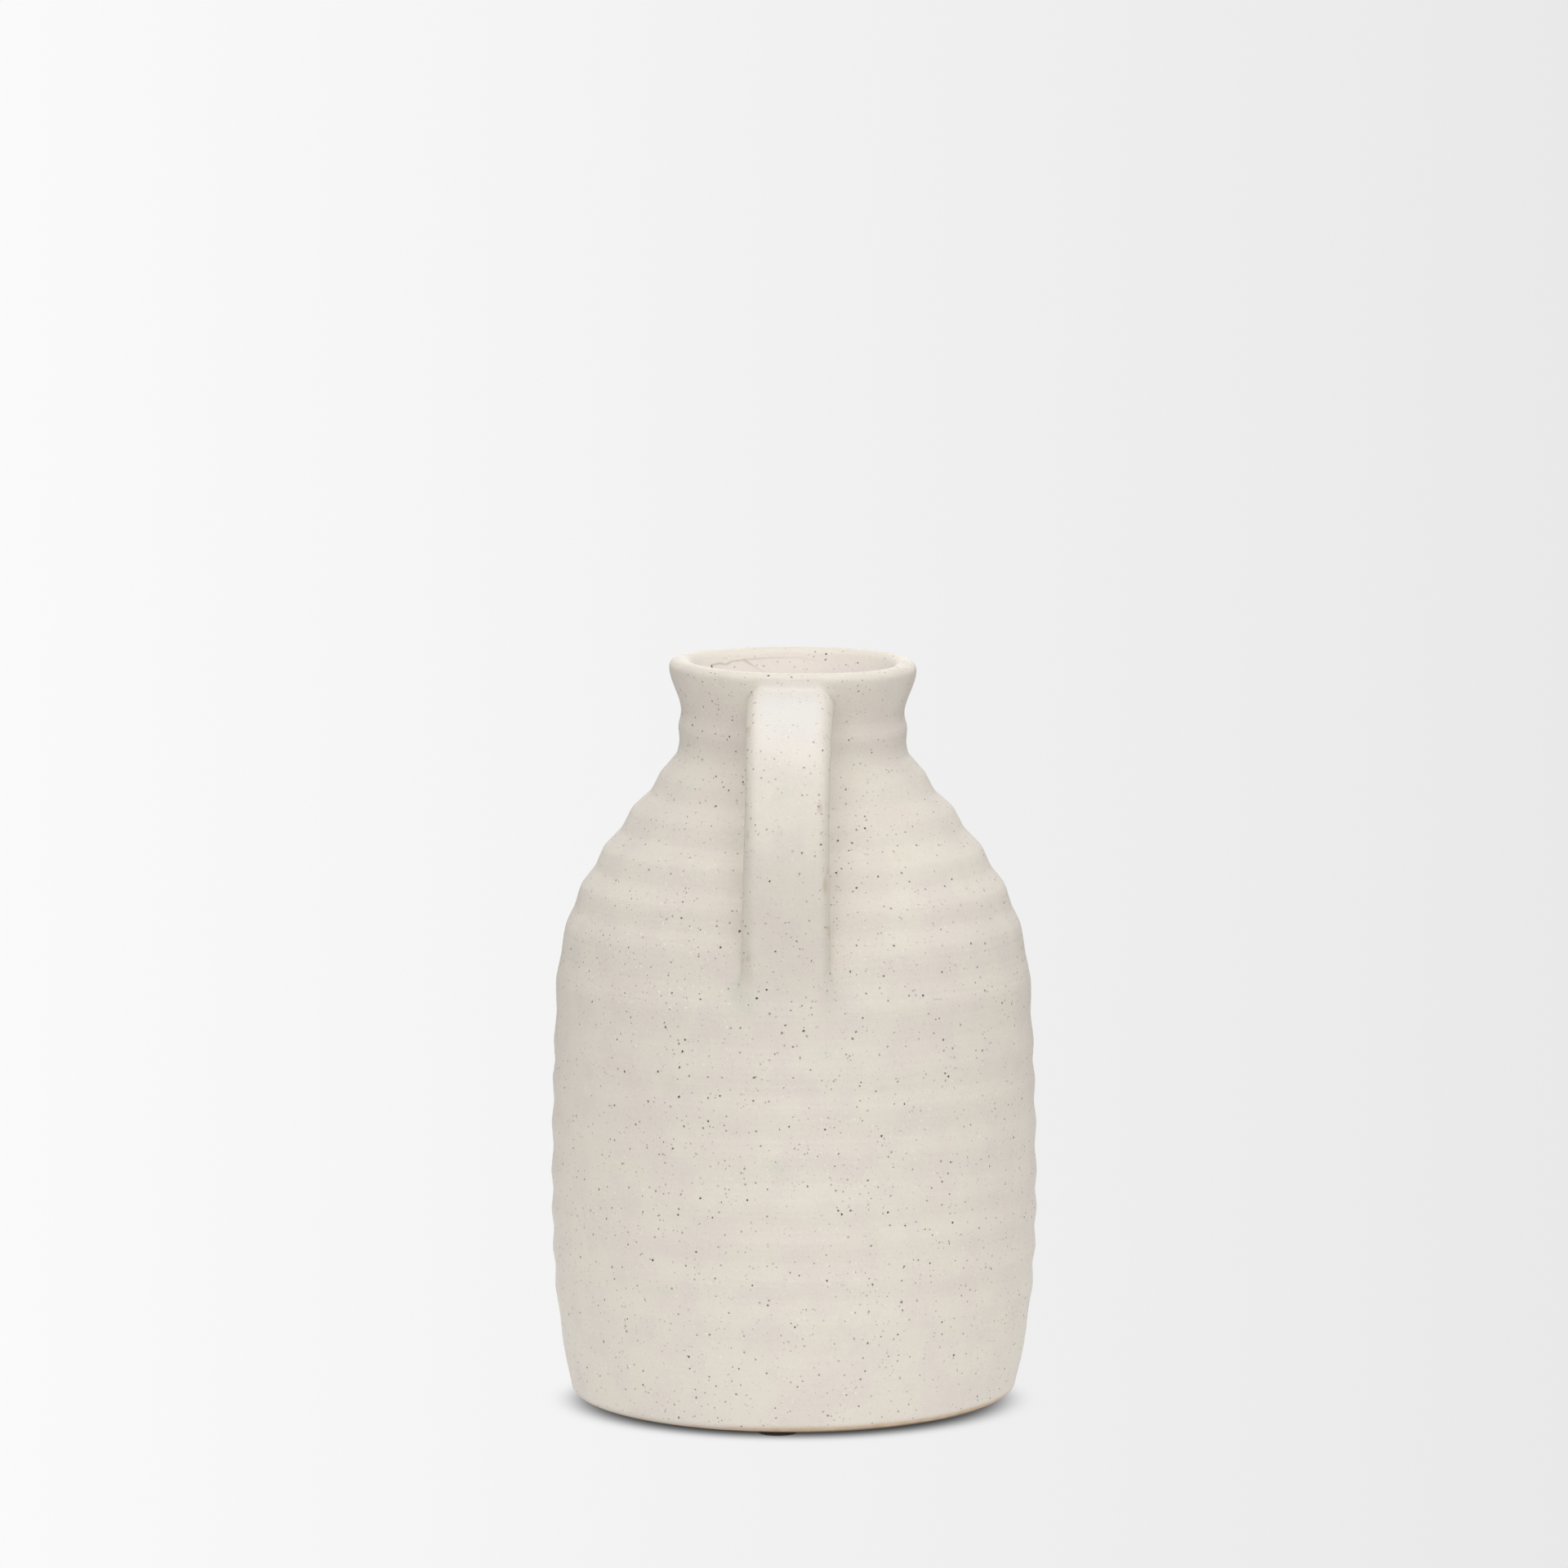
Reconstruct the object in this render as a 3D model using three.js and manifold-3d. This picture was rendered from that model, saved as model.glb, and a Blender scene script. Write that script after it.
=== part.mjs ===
// A stoneware vase with one strap handle: a thrown body with finger rings, a pulled strap joined to it under
// the lip and on the belly, and four felt pads, each stuck to the bare base by a disc of adhesive film.
// Millimetres, +Z up, z = 0 on the table. The handle points to -Y. The origin is the middle of the whole
// object's extent, handle included, so the axis that the body was thrown on stands a little behind it, at +Y.
import * as THREE from "three";
import { mergeVertices } from "three/addons/utils/BufferGeometryUtils.js";
import Module from "manifold-3d";

const wasm = await Module();
wasm.setup();

const { lerp, smoothstep, degToRad } = THREE.MathUtils;

// ---- Feet: felt discs on adhesive discs ----
const FELT_RADIUS = 7.5;
const FELT_THICKNESS = 1.5;
const FELT_EDGE = 0.25; // chamfer of the felt's rims
const FILM_RADIUS = 7.1;
const FILM_THICKNESS = 0.3;
const PAD_CIRCLE_RADIUS = 68.5;
const PAD_PLACES = { front: -94.8, right: 1.5, back: 87.5, left: 182.5 }; // degrees, as stuck on by hand
const PAD_SEGMENTS = 32;
const BASE_Z = FELT_THICKNESS + FILM_THICKNESS; // the stoneware's underside above the table

// ---- Body: heights are above the stoneware's underside ----
const BASE_FLAT_RADIUS = 77.6;
const BASE_CORNER_HEIGHT = 4.6;
const RECESS_RADIUS = 56; // the middle of the underside is turned away
const RECESS_DEPTH = 2;
const RECESS_SLOPE = 4;
const FLOOR_TOP = 10;
const WALL = 6.4; // thickness, square to the wall
const INNER_CORNER_RADIUS = 12;

// The smooth wall that the rings are thrown on, as height and radius, from the foot to the neck's narrowest.
const WALL_OUTLINE = [
  [4.6, 82],
  [18, 84.6],
  [36, 87.1],
  [60, 88.7],
  [100, 88.7],
  [136, 87.5],
  [158, 86.3],
  [172, 83.7],
  [187, 78.2],
  [203, 68.6],
  [219, 56.8],
  [233, 45.9],
  [242, 41.6],
  [253, 41.4],
];
const RING_HEIGHTS = [19, 42, 56, 70, 84, 102, 118, 132, 154, 175, 189, 203, 217.5, 230.5, 247];
const BELLY_RING_SWELL = 0.42; // half of a ring's height
const SHOULDER_RING_SWELL = 0.85;
const NECK_RING_SWELL = 0.6;
const FOOT_FADE = [8, 48]; // the rings grow from nothing between these heights
const SHOULDER_FADE = [165, 212]; // and from the belly's swell to the shoulder's between these
const NECK_FADE = [232, 246]; // and from the shoulder's swell to the neck's between these
const STEPS_PER_RING = 4;

// ---- Neck and lip ----
const NECK_TOP = 253; // above this the outside flares straight to the lip
const RIM_RADIUS = 45.2;
const LIP_CENTRE = [41.1, 269.4]; // radius and height of the middle of the lip's rounded section
const LIP_HALF = [RIM_RADIUS - LIP_CENTRE[0], 3.1];
const NECK_INSIDE = [
  [262, 36.2],
  [252, 35.4],
  [243, 35.4],
]; // height and radius
const SHOULDER_INSIDE_TOP = 230;
const INSIDE_STEPS = 16;
const BODY_SEGMENTS = 48;

// ---- Strap handle ----
// Its middle line, as radius and height, runs from inside the neck's wall to inside the belly's.
const STRAP_LINE = [
  [36, 264.2],
  [52, 260.8],
  [70, 255.8],
  [86, 245.8],
  [95.4, 231],
  [98.6, 214],
  [96.6, 196],
  [91.6, 178],
  [86.2, 161],
  [80.5, 143],
];
const STRAP_WIDTH = 32;
const STRAP_THICKNESS = 9.2;
const STRAP_SQUARENESS = 3.6; // exponent of the superellipse that the strap is in section
const STRAP_EDGE_POINTS = 32;
const STRAP_STEPS = 44;
const STRAP_TURN = -1.4; // degrees round the axis from -Y, as set on by hand
const SLIP_GAP = 0.3; // the film of clay slip between the strap's ends and the body

const MERGE_DISTANCE = 1e-4;

const MATERIALS = {
  glazed_stoneware: new THREE.MeshStandardMaterial({ color: 0xdfd8cc, roughness: 0.62, metalness: 0 }),
  felt: new THREE.MeshStandardMaterial({ color: 0x2b2725, roughness: 0.95, metalness: 0 }),
  adhesive_film: new THREE.MeshStandardMaterial({ color: 0xb9b4a8, roughness: 0.5, metalness: 0 }),
};

const wallSpline = new THREE.CubicInterpolant(
  WALL_OUTLINE.map(([height]) => height),
  WALL_OUTLINE.map(([, radius]) => radius),
  1,
);

function smoothWallRadius(height) {
  return wallSpline.evaluate(height)[0];
}

// How far a ring stands out at a height: 1 on each ring's crest, -1 halfway between two of them.
function ringWave(height) {
  const crests = [-RING_HEIGHTS[0], ...RING_HEIGHTS, 2 * NECK_TOP - RING_HEIGHTS.at(-1)];
  const above = crests.findIndex((crest) => crest > height);
  const low = crests[above - 1];
  return Math.cos((2 * Math.PI * (height - low)) / (crests[above] - low));
}

function ringSwell(height) {
  const onBelly = BELLY_RING_SWELL * smoothstep(height, ...FOOT_FADE);
  const onWall = lerp(onBelly, SHOULDER_RING_SWELL, smoothstep(height, ...SHOULDER_FADE));
  return lerp(onWall, NECK_RING_SWELL, smoothstep(height, ...NECK_FADE));
}

function wallRadius(height) {
  return smoothWallRadius(height) + ringSwell(height) * ringWave(height);
}

// The wall's inner face runs square to the smooth wall, so it stands further in where the wall slopes.
function insideRadius(height) {
  const slope = (smoothWallRadius(height + 1) - smoothWallRadius(height - 1)) / 2;
  return smoothWallRadius(height) - WALL * Math.hypot(1, slope);
}

// Heights that follow the rings: each crest and, below it, even steps down to the crest before.
function ringStations() {
  const crests = [BASE_CORNER_HEIGHT, ...RING_HEIGHTS, NECK_TOP];
  const stations = [];
  crests.slice(1).forEach((high, i) => {
    for (let step = 1; step <= STEPS_PER_RING; step++) {
      stations.push(lerp(crests[i], high, step / STEPS_PER_RING));
    }
  });
  return stations;
}

function arc([centreRadius, centreHeight], [halfWidth, halfHeight], fromDegrees, toDegrees, steps) {
  return Array.from({ length: steps + 1 }, (_, i) => {
    const angle = degToRad(lerp(fromDegrees, toDegrees, i / steps));
    const radius = centreRadius + halfWidth * Math.cos(angle);
    return new THREE.Vector2(radius, centreHeight + halfHeight * Math.sin(angle));
  });
}

// The outside of the body from the rim of its flat base up to the foot of the neck's flare.
function outsideOutline() {
  const cornerWidth = wallRadius(BASE_CORNER_HEIGHT) - BASE_FLAT_RADIUS;
  const cornerCentre = [BASE_FLAT_RADIUS, BASE_CORNER_HEIGHT];
  const corner = arc(cornerCentre, [cornerWidth, BASE_CORNER_HEIGHT], -90, 0, 4);
  return [...corner, ...ringStations().map((height) => new THREE.Vector2(wallRadius(height), height))];
}

// The hollow from the lip's inner edge down to the middle of the floor.
function insideOutline() {
  const neck = NECK_INSIDE.map(([height, radius]) => new THREE.Vector2(radius, height));
  const cornerTop = FLOOR_TOP + INNER_CORNER_RADIUS;
  const wall = Array.from({ length: INSIDE_STEPS }, (_, i) => {
    const height = lerp(SHOULDER_INSIDE_TOP, cornerTop, i / INSIDE_STEPS);
    return new THREE.Vector2(insideRadius(height), height);
  });
  const cornerCentre = [insideRadius(cornerTop) - INNER_CORNER_RADIUS, cornerTop];
  const corner = arc(cornerCentre, [INNER_CORNER_RADIUS, INNER_CORNER_RADIUS], 0, -90, 4);
  return [...neck, ...wall, ...corner, new THREE.Vector2(0, FLOOR_TOP)];
}

// Turns an outline of radius and height about the Z axis.
function turned(outline, segments) {
  return new THREE.LatheGeometry(outline, segments).rotateX(Math.PI / 2);
}

function bodyGeometry() {
  const underside = [
    new THREE.Vector2(0, RECESS_DEPTH),
    new THREE.Vector2(RECESS_RADIUS - RECESS_SLOPE, RECESS_DEPTH),
    new THREE.Vector2(RECESS_RADIUS, 0),
  ];
  const lip = arc(LIP_CENTRE, LIP_HALF, 0, 180, 10);
  return turned([...underside, ...outsideOutline(), ...lip, ...insideOutline()], BODY_SEGMENTS);
}

// The body with its hollow filled in and a slip's thickness added, which the strap's ends are cut back to.
function jointCutterGeometry() {
  const skin = outsideOutline().map((point) => new THREE.Vector2(point.x + SLIP_GAP, point.y));
  const lipHalf = LIP_HALF.map((half) => half + SLIP_GAP);
  const lip = arc(LIP_CENTRE, lipHalf, 0, 90, 5);
  const bottom = new THREE.Vector2(0, 0);
  const top = new THREE.Vector2(0, LIP_CENTRE[1] + lipHalf[1]);
  return turned([bottom, ...skin, ...lip, top], BODY_SEGMENTS);
}

// A superellipse: nearly a rectangle, with its corners rounded off.
function strapSection() {
  const power = 2 / STRAP_SQUARENESS;
  const points = Array.from({ length: STRAP_EDGE_POINTS }, (_, i) => {
    const angle = (2 * Math.PI * i) / STRAP_EDGE_POINTS;
    const across = Math.sign(Math.cos(angle)) * Math.abs(Math.cos(angle)) ** power;
    const through = Math.sign(Math.sin(angle)) * Math.abs(Math.sin(angle)) ** power;
    return new THREE.Vector2((across * STRAP_WIDTH) / 2, (through * STRAP_THICKNESS) / 2);
  });
  return new THREE.Shape(points);
}

function strapGeometry() {
  const line = STRAP_LINE.map(([radius, height]) => new THREE.Vector3(0, -radius, height));
  const path = new THREE.CatmullRomCurve3(line, false, "centripetal");
  const strap = new THREE.ExtrudeGeometry(strapSection(), { steps: STRAP_STEPS, extrudePath: path });
  strap.rotateZ(degToRad(STRAP_TURN));
  return subtract(strap, jointCutterGeometry());
}

function solidOf(geometry) {
  const bare = geometry.index ? geometry.toNonIndexed() : geometry.clone();
  bare.deleteAttribute("normal");
  bare.deleteAttribute("uv");
  const merged = mergeVertices(bare, MERGE_DISTANCE);
  return new wasm.Manifold(
    new wasm.Mesh({
      numProp: 3,
      vertProperties: new Float32Array(merged.attributes.position.array),
      triVerts: new Uint32Array(merged.index.array),
    }),
  );
}

// What is left of one geometry outside another. Of separate remains, only the largest is kept.
function subtract(geometry, cutter) {
  const remains = solidOf(geometry).subtract(solidOf(cutter)).decompose();
  const largest = remains.reduce((a, b) => (a.volume() > b.volume() ? a : b));
  const mesh = largest.getMesh();
  return new THREE.BufferGeometry()
    .setAttribute("position", new THREE.BufferAttribute(mesh.vertProperties, 3))
    .setIndex(new THREE.BufferAttribute(mesh.triVerts, 1));
}

function feltGeometry() {
  const faceRadius = FELT_RADIUS - FELT_EDGE;
  const outline = [
    new THREE.Vector2(0, 0),
    new THREE.Vector2(faceRadius, 0),
    new THREE.Vector2(FELT_RADIUS, FELT_EDGE),
    new THREE.Vector2(FELT_RADIUS, FELT_THICKNESS - FELT_EDGE),
    new THREE.Vector2(faceRadius, FELT_THICKNESS),
    new THREE.Vector2(0, FELT_THICKNESS),
  ];
  return turned(outline, PAD_SEGMENTS);
}

function filmGeometry() {
  const disc = new THREE.CylinderGeometry(FILM_RADIUS, FILM_RADIUS, FILM_THICKNESS, PAD_SEGMENTS);
  return disc.rotateX(Math.PI / 2).translate(0, 0, FILM_THICKNESS / 2);
}

function namedMesh(name, geometry, material) {
  const mesh = new THREE.Mesh(geometry, MATERIALS[material]);
  mesh.name = name;
  return mesh;
}

// One stick-on foot: the felt on the table and its adhesive disc above it.
function foot(place, degrees) {
  const group = new THREE.Group();
  const angle = degToRad(degrees);
  group.position.set(PAD_CIRCLE_RADIUS * Math.cos(angle), PAD_CIRCLE_RADIUS * Math.sin(angle), 0);
  const film = namedMesh(`pad_adhesive_${place}`, filmGeometry(), "adhesive_film");
  film.position.z = FELT_THICKNESS;
  group.add(namedMesh(`felt_pad_${place}`, feltGeometry(), "felt"), film);
  return group;
}

const stoneware = new THREE.Group();
stoneware.position.z = BASE_Z;
stoneware.add(
  namedMesh("vase_body", bodyGeometry(), "glazed_stoneware"),
  namedMesh("strap_handle", strapGeometry(), "glazed_stoneware"),
);

const vase = new THREE.Group();
vase.add(stoneware, ...Object.entries(PAD_PLACES).map(([place, degrees]) => foot(place, degrees)));
const extent = new THREE.Box3().setFromObject(vase);
vase.position.y = -(extent.min.y + extent.max.y) / 2;

const model = new THREE.Group();
model.add(vase);

export default model;
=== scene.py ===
import itertools
import math

import bmesh
import bpy
import numpy as np
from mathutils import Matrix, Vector


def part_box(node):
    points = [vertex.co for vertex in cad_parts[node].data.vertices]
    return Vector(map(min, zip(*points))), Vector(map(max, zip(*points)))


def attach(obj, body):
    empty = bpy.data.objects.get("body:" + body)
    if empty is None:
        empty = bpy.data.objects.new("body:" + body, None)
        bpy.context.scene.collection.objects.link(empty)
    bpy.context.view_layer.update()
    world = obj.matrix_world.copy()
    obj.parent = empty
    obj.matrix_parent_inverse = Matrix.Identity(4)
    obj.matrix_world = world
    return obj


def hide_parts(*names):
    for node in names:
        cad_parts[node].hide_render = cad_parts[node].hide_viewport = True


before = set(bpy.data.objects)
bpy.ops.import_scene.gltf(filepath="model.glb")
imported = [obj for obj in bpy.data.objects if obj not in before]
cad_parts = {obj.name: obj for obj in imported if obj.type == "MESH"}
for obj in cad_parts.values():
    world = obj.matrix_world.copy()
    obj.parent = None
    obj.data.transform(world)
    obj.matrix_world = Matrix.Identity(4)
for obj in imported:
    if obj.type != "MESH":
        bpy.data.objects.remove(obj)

# A stoneware vase with one strap handle on felt pads. The CAD model gives the pieces' sizes and places: the
# body's outline is read off one meridian of its mesh, and the strap's middle line off the strap's own edges.
# Until a mesh is written, lengths are millimetres from where the body's axis meets the table.
MM = 0.001
TAU = 2 * math.pi
DETAIL = 1.0  # how fine the meshes are
rng = np.random.default_rng(11)

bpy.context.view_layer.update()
body_low, body_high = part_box("vase_body")
AXIS = np.array([(body_low.x + body_high.x) / 2, (body_low.y + body_high.y) / 2, 0.0]) / MM
BASE_Z = body_low.z / MM  # the stoneware's underside above the table
RIM_Z = body_high.z / MM
BELLY_RADIUS = (body_high.x - body_low.x) / 2 / MM


# ------------------------------------------------------------------------------------------------ helpers


def cad_vertices(node):
    """A CAD node's vertices in the body's frame, in millimetres, with doubles merged, and its edges."""
    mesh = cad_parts[node].data
    flat = np.empty(len(mesh.vertices) * 3, np.float32)
    mesh.vertices.foreach_get("co", flat)
    points = flat.reshape(-1, 3).astype(float) / MM - AXIS
    ends = np.empty(len(mesh.edges) * 2, np.int32)
    mesh.edges.foreach_get("vertices", ends)
    _, first, merged = np.unique(np.round(points, 2), axis=0, return_index=True, return_inverse=True)
    return points[first], merged.reshape(-1)[ends.reshape(-1, 2)]


def smoothstep(value, low, high):
    t = np.clip((value - low) / (high - low), 0.0, 1.0)
    return t * t * (3 - 2 * t)


def between(pair, share):
    return pair[0] + (pair[1] - pair[0]) * share


def monotone_slopes(s, v):
    """Slopes at the knots of a curve that never swings past them (Fritsch and Carlson)."""
    step = np.diff(s)
    rise = np.diff(v) / step
    slopes = np.zeros_like(v)
    slopes[0], slopes[-1] = rise[0], rise[-1]
    same = rise[:-1] * rise[1:] > 0
    w1 = 2 * step[1:] + step[:-1]
    w2 = step[1:] + 2 * step[:-1]
    safe_low = np.where(same, rise[:-1], 1.0)
    safe_high = np.where(same, rise[1:], 1.0)
    slopes[1:-1] = np.where(same, (w1 + w2) / (w1 / safe_low + w2 / safe_high), 0.0)
    return slopes


def through_knots(s, v, q):
    """Values at q of the smooth curve through the knots."""
    slopes = monotone_slopes(s, v)
    i = np.clip(np.searchsorted(s, q, side="right") - 1, 0, len(s) - 2)
    h = s[i + 1] - s[i]
    t = (q - s[i]) / h
    low = (1 + 2 * t) * (1 - t) ** 2 * v[i] + t * (1 - t) ** 2 * h * slopes[i]
    high = t * t * (3 - 2 * t) * v[i + 1] + t * t * (t - 1) * h * slopes[i + 1]
    return low + high


def arc_length(points):
    return np.concatenate([[0.0], np.cumsum(np.linalg.norm(np.diff(points, axis=0), axis=1))])


def mesh_piece(name, points, faces, node, material):
    """A mesh of points in the body's frame, which stands for a CAD node and rides on the one body."""
    mesh = bpy.data.meshes.new(name)
    mesh.from_pydata(((np.asarray(points) + AXIS) * MM).tolist(), [], faces)
    piece = bpy.data.objects.new(name, mesh)
    bpy.context.scene.collection.objects.link(piece)
    made = bmesh.new()
    made.from_mesh(mesh)
    bmesh.ops.recalc_face_normals(made, faces=made.faces)
    made.to_mesh(mesh)
    made.free()
    mesh.shade_smooth()
    mesh.materials.append(material)
    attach(piece, "root")
    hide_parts(node)
    return piece


def point_values(piece, name, values):
    """Stores one number for each vertex, which the materials read by name."""
    layer = piece.data.attributes.new(name, "FLOAT", "POINT")
    layer.data.foreach_set("value", np.asarray(values, np.float32))


def turned_points(radius, height, angle):
    """Points of a surface turned round the axis, row by row. The radius may differ from angle to angle."""
    ring = np.stack([np.sin(angle), -np.cos(angle), np.zeros(len(angle))], axis=1)
    return (radius[..., None] * ring[None] + [0, 0, 1.0] * height[:, None, None]).reshape(-1, 3)


def turned_faces(rows, around):
    """Quads between the rows of such points, and a fan at each end to the two points that come after them."""
    grid = np.arange(rows * around).reshape(rows, around)
    onward = np.roll(grid, -1, axis=1)
    quads = np.stack([grid[:-1], onward[:-1], onward[1:], grid[1:]], axis=-1).reshape(-1, 4).tolist()
    first, last = grid.size, grid.size + 1
    fans = [[first, b, a] for a, b in zip(grid[0], onward[0])]
    fans += [[last, a, b] for a, b in zip(grid[-1], onward[-1])]
    return quads + fans


# --------------------------------------------------------------------------------- the outline of the body


def meridian():
    """The body's outline as (radius, height) knots, from the middle of its underside round to its floor."""
    points, edges = cad_vertices("vase_body")
    near = 0.02
    on_it = (np.abs(points[:, 0]) < near) & (points[:, 1] > -near)
    links = {}
    for a, b in edges:
        if on_it[a] and on_it[b] and a != b:
            links.setdefault(a, set()).add(b)
            links.setdefault(b, set()).add(a)
    at = min((v for v in links if points[v, 1] < near), key=lambda v: points[v, 2])
    chain, before = [at], None
    while len(chain) < 2 or points[at, 1] > near:
        before, at = at, next(v for v in links[at] if v != before)
        chain.append(at)
    return points[chain][:, 1:]


KNOTS = meridian()
KNOT_S = arc_length(KNOTS)
CREST_S = KNOT_S[np.argmax(KNOTS[:, 1])]
OUTSIDE_END_S = CREST_S + 4  # just over the lip
FLAT_BASE = (np.abs(KNOTS[:, 1] - BASE_Z) < 0.01) & (KNOTS[:, 0] > 0.5 * BELLY_RADIUS)
FLAT_BASE_S = KNOT_S[FLAT_BASE]
GLAZE_LINE = 2.5  # height above the base at which the glaze stops, at the right of the front
GLAZE_SAG = 1.9  # how much lower the glaze runs at the left
BELLY_FOOT = (BASE_Z + 12, BASE_Z + 26)  # between these heights the belly's rings begin
BELLY_TOP = (138, 156)  # between these they give way to the shoulder's
SHOULDER_TOP = (212, 228)  # and between these the shoulder's give way to the neck's
# The CAD model's rings are as tall all round. Here they lose these shares of their height: first at the
# front and back, then at the two sides.
BELLY_RINGS_LOSE = (0.5, 0.17)
SHOULDER_RINGS_LOSE = (0.0, 0.25)
RING_SMOOTHING = 15  # how far to each side the outline is smoothed, to find how far the rings stand out
AROUND = int(384 * DETAIL)  # points round the body
WALL_STEP, LIP_STEP, UNDERSIDE_STEP, INSIDE_STEP = 0.6, 0.35, 1.6, 2.4  # and between rows of them


def outline_at(s):
    return through_knots(KNOT_S, KNOTS[:, 0], s), through_knots(KNOT_S, KNOTS[:, 1], s)


def ring_height(s):
    """How far the outline stands out from itself smoothed, on the belly and on the shoulder."""
    even = np.arange(0, CREST_S, 1.0)
    radius, height = outline_at(even)
    window = np.hanning(2 * RING_SMOOTHING + 1)
    smooth = np.convolve(np.pad(radius, RING_SMOOTHING, mode="edge"), window / window.sum(), "valid")
    belly = smoothstep(height, *BELLY_FOOT) * (1 - smoothstep(height, *BELLY_TOP))
    shoulder = smoothstep(height, *BELLY_TOP) * (1 - smoothstep(height, *SHOULDER_TOP))
    return [np.interp(s, even, (radius - smooth) * part, right=0.0)[:, None] for part in (belly, shoulder)]


def ring_loss(s, angle):
    """How much the rings are lowered, at each place along the outline and each angle round the pot."""
    belly, shoulder = ring_height(s)
    sideways = np.sin(angle)[None] ** 2
    return belly * between(BELLY_RINGS_LOSE, sideways) + shoulder * between(SHOULDER_RINGS_LOSE, sideways)


def row_positions():
    """Places along the outline, close together where the surface bends and is seen."""
    s = np.linspace(0, KNOT_S[-1], 8000)
    spacing = np.full(len(s), WALL_STEP)
    spacing[s < FLAT_BASE_S[0]] = UNDERSIDE_STEP
    spacing[np.abs(s - CREST_S) < 9] = LIP_STEP
    spacing[s > CREST_S + 36] = INSIDE_STEP
    count = np.concatenate([[0.0], np.cumsum(np.diff(s) / spacing[:-1])]) * DETAIL
    return np.interp(np.linspace(0, count[-1], int(count[-1]) + 1), count, s)


# --------------------------------------------------------------------------- what the hand left in the clay


class Waves:
    """A smooth wandering value round the pot and up it: a sum of waves with random phases."""

    def __init__(self, rounds, height_scale, size):
        self.rounds = np.array(rounds)
        self.phase = rng.uniform(0, TAU, len(rounds))
        self.twist = rng.uniform(-1, 1, len(rounds)) / height_scale
        self.size = size * rng.uniform(0.6, 1.0, len(rounds)) / np.sqrt(len(rounds))

    def __call__(self, angle, height):
        total = np.zeros(np.broadcast(angle, height).shape)
        for n, phase, twist, size in zip(self.rounds, self.phase, self.twist, self.size):
            total += size * np.cos(n * angle + phase + TAU * twist * height)
        return total


out_of_round = Waves([2, 3, 5], 300, 0.34)
ring_tilt = Waves([1, 2, 3], 120, 0.3)
ring_strength = Waves([1, 2, 3, 4, 6], 24, 0.34)
finger_lines = Waves([1, 2, 3], 60, 1.0)
RIM_TILT = 0.5 / 45  # the rim is half a millimetre higher on the left
LINE_SPACINGS = [1.9, 2.7, 4.3]  # of the fine lines that the fingertips leave
LINE_HEIGHT = 0.05
UNEVEN_HEIGHT, UNEVEN_SPACING = 0.12, 15  # of the slow swell that makes one ring differ from the next
LIFT_RIGHT, LIFT_LEFT = 2.0, 1.1  # how much higher the foot's corner is at the two sides
CORNER_RADII = (74.5, 79)  # the lift grows between these radii
CORNER_FADE = (4, 18)  # and is gone between these heights
# Two hairline cracks in the glaze inside the neck, as (degrees round from the front, mm below the crest).
SHORT_CRACK = [(210, 4.0), (204, 6.4), (197, 9.0)]
LONG_CRACK = [(236, 4.6), (228, 4.4), (223, 5.0), (218, 4.1), (210, 4.0), (202, 3.8), (190, 3.7), (176, 3.8)]
LONG_CRACK += [(166, 4.9)]
CRACK_WIDTH = 0.8
NECK_RADIUS = 36.5  # inside
SANDY_PATCH = (-44, 172, 34, 36)  # of coarser grain: degrees round and height of its middle, half its extents


def corner_lift(angle):
    """How much higher the foot's corner is than at the front: it was rolled more at the two sides."""
    return LIFT_RIGHT * np.maximum(np.sin(angle), 0) ** 2 + LIFT_LEFT * np.minimum(np.sin(angle), 0) ** 2


def hand_made(points, on_wall):
    """Moves points as the throwing hand did. on_wall is 1 on the body's own surface and falls to 0 off it."""
    x, y, z = points.T
    angle = np.arctan2(x, -y)
    radius = np.hypot(x, y)
    above_foot = smoothstep(z, BASE_Z + 3, BASE_Z + 25)
    grow = out_of_round(angle, z) * (0.35 + 0.65 * above_foot)
    wander = 2.5 * finger_lines(angle, z)
    lines = np.mean([np.cos(TAU * z / spacing + wander) for spacing in LINE_SPACINGS], axis=0)
    uneven = ring_strength(angle, z) * np.cos(TAU * z / UNEVEN_SPACING)
    on_rings = above_foot * (1 - smoothstep(z, RIM_Z - 20, RIM_Z - 8))
    grow += on_wall * on_rings * (LINE_HEIGHT * lines + UNEVEN_HEIGHT * uneven)
    grow *= smoothstep(radius, 5, 30)
    lift = ring_tilt(angle, z) * above_foot - x * RIM_TILT * smoothstep(z, RIM_Z - 50, RIM_Z - 5)
    lift += corner_lift(angle) * smoothstep(radius, *CORNER_RADII) * (1 - smoothstep(z, *CORNER_FADE))
    scale = 1 + grow / np.maximum(radius, 1.0)
    return np.stack([x * scale, y * scale, z + lift * smoothstep(radius, 5, 30)], axis=1)


def crack_strength(points, path):
    """For points inside the neck, 1 on the crack and falling to 0 beside it; it fades along its length."""
    bearing = np.arctan2(points[:, 0], -points[:, 1]) % TAU
    at = np.stack([bearing * NECK_RADIUS, RIM_Z - points[:, 2]], axis=1)
    line = np.array(path, float) * [NECK_RADIUS * TAU / 360, 1]
    strength = np.zeros(len(points))
    inside_neck = (np.hypot(points[:, 0], points[:, 1]) < 40) & (points[:, 2] > RIM_Z - 12)
    for i, (start, end) in enumerate(zip(line[:-1], line[1:])):
        along = end - start
        share = np.clip((at - start) @ along / (along @ along), 0, 1)
        apart = np.linalg.norm(at - start - share[:, None] * along, axis=1)
        fade = 1 - 0.6 * (i + share) / (len(line) - 1)
        strength = np.maximum(strength, fade * np.clip(1 - apart / CRACK_WIDTH, 0, 1))
    return strength * inside_neck


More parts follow.
